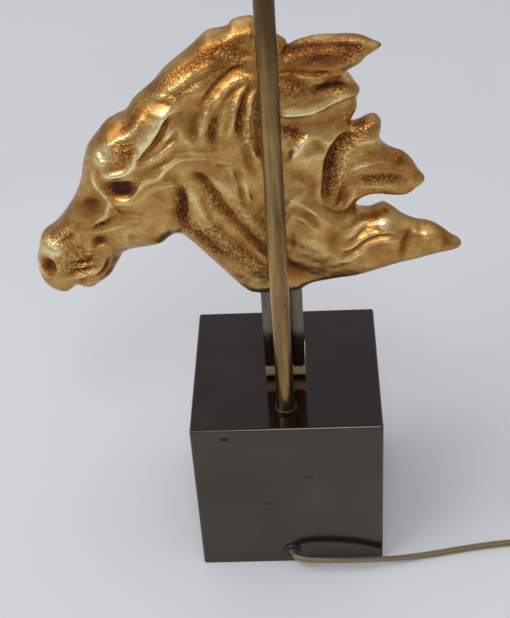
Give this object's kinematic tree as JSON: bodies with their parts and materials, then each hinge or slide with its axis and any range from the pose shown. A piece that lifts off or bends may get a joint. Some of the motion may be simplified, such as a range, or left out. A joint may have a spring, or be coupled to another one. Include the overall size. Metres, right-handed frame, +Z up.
{
  "type": "table lamp",
  "caption": "Table lamp with a cast horse's head on a bent strap, a cube foot, a tall side rod, a screw lampholder with bulb, and a coiled flat cord with its plug.",
  "frame": {"origin": "middle of the cube foot's underside, on the surface that the lamp stands on", "axes": "+Z up along the rod; -Y is the way that the cord leaves the cube; the horse looks towards -X"},
  "size_m": [0.4287, 0.1617, 0.5921],
  "materials": {
    "bronze_sheet": "dark bronze patina, satin sides and a polished top",
    "bronze_strap": "dark bronze patina, polished, brass showing through on the bend",
    "cast_brass": "polished high spots over a brown stippled antique patina",
    "aged_brass": "aged tube with lengthwise tarnish",
    "felt": "dark green wool felt",
    "zinc_steel": "zinc plated",
    "cast_iron": "rough cast",
    "black_rubber": "matte",
    "clamp_plastic": "ivory moulded",
    "cord_pvc": "clear gold sheath over two stranded copper cores",
    "tie_vinyl": "black vinyl",
    "plug_pvc": "moulded, gold brown",
    "sleeve_plastic": "black",
    "pin_metal": "nickel plated",
    "holder_brass": "spun and lacquered",
    "ceramic": "unglazed white",
    "core_insulation": "clear gold sheath",
    "bulb_glass": "clear",
    "bulb_cap": "rolled screw cap",
    "bulb_insulator": "black glass",
    "solder": "solder",
    "tungsten": "drawn wire"
  },
  "bodies": {
    "stand": {"base_shell": "bronze_sheet", "base_felt_pad": "felt", "base_bottom_plate": "zinc_steel", "base_corner_blocks": "zinc_steel", "base_plate_screws": "zinc_steel", "base_ballast": "cast_iron", "base_ballast_bolts": "zinc_steel", "rod": "aged_brass", "rod_collar": "bronze_sheet", "rod_washer": "zinc_steel", "rod_nut": "zinc_steel", "strap": "bronze_strap", "strap_foot_screws": "zinc_steel", "strap_foot_washers": "zinc_steel", "strap_foot_nuts": "zinc_steel", "horse_head": "cast_brass", "horse_head_screws": "holder_brass", "cord_grommet": "black_rubber", "cord_clamp_saddle": "clamp_plastic", "cord_clamp_bar": "clamp_plastic", "cord_clamp_screws": "zinc_steel", "cord_inside": "cord_pvc", "cord": "cord_pvc", "cord_coil": "cord_pvc", "cord_to_plug": "cord_pvc", "coil_tie": "tie_vinyl", "plug_body": "plug_pvc", "plug_pins": "pin_metal", "plug_pin_sleeves": "sleeve_plastic", "plug_cord_guard": "plug_pvc", "lampholder_cap": "holder_brass", "lampholder_skirt": "holder_brass", "lampholder_ceramic_core": "ceramic", "lampholder_terminal_screws": "holder_brass", "lampholder_screw_shell": "holder_brass", "lampholder_centre_contact": "holder_brass", "lampholder_core_wires": "core_insulation", "switch_bushing": "holder_brass"},
    "switch": {"switch_spindle": "zinc_steel", "switch_key": "holder_brass"},
    "ring": {"shade_ring": "holder_brass"},
    "bulb": {"bulb_cap": "bulb_cap", "bulb_insulator": "bulb_insulator", "bulb_tip": "solder", "bulb_glass": "bulb_glass", "bulb_stem": "bulb_glass", "bulb_wires": "tungsten", "bulb_filament": "tungsten"}
  },
  "joints": [
    {"name": "switch_turn", "type": "hinge", "parent": "stand", "child": "switch", "pos_m": [0.03, -0.0437, 0.4745], "axis": [1, 0, 0], "continuous": true},
    {"name": "shade_ring_turn", "type": "hinge", "parent": "stand", "child": "ring", "pos_m": [0, -0.0437, 0.4848], "axis": [0, 0, 1], "continuous": true},
    {"name": "bulb_lift", "type": "slide", "parent": "stand", "child": "bulb", "axis": [0, 0, 1], "range_m": [0, 0.03]}
  ]
}
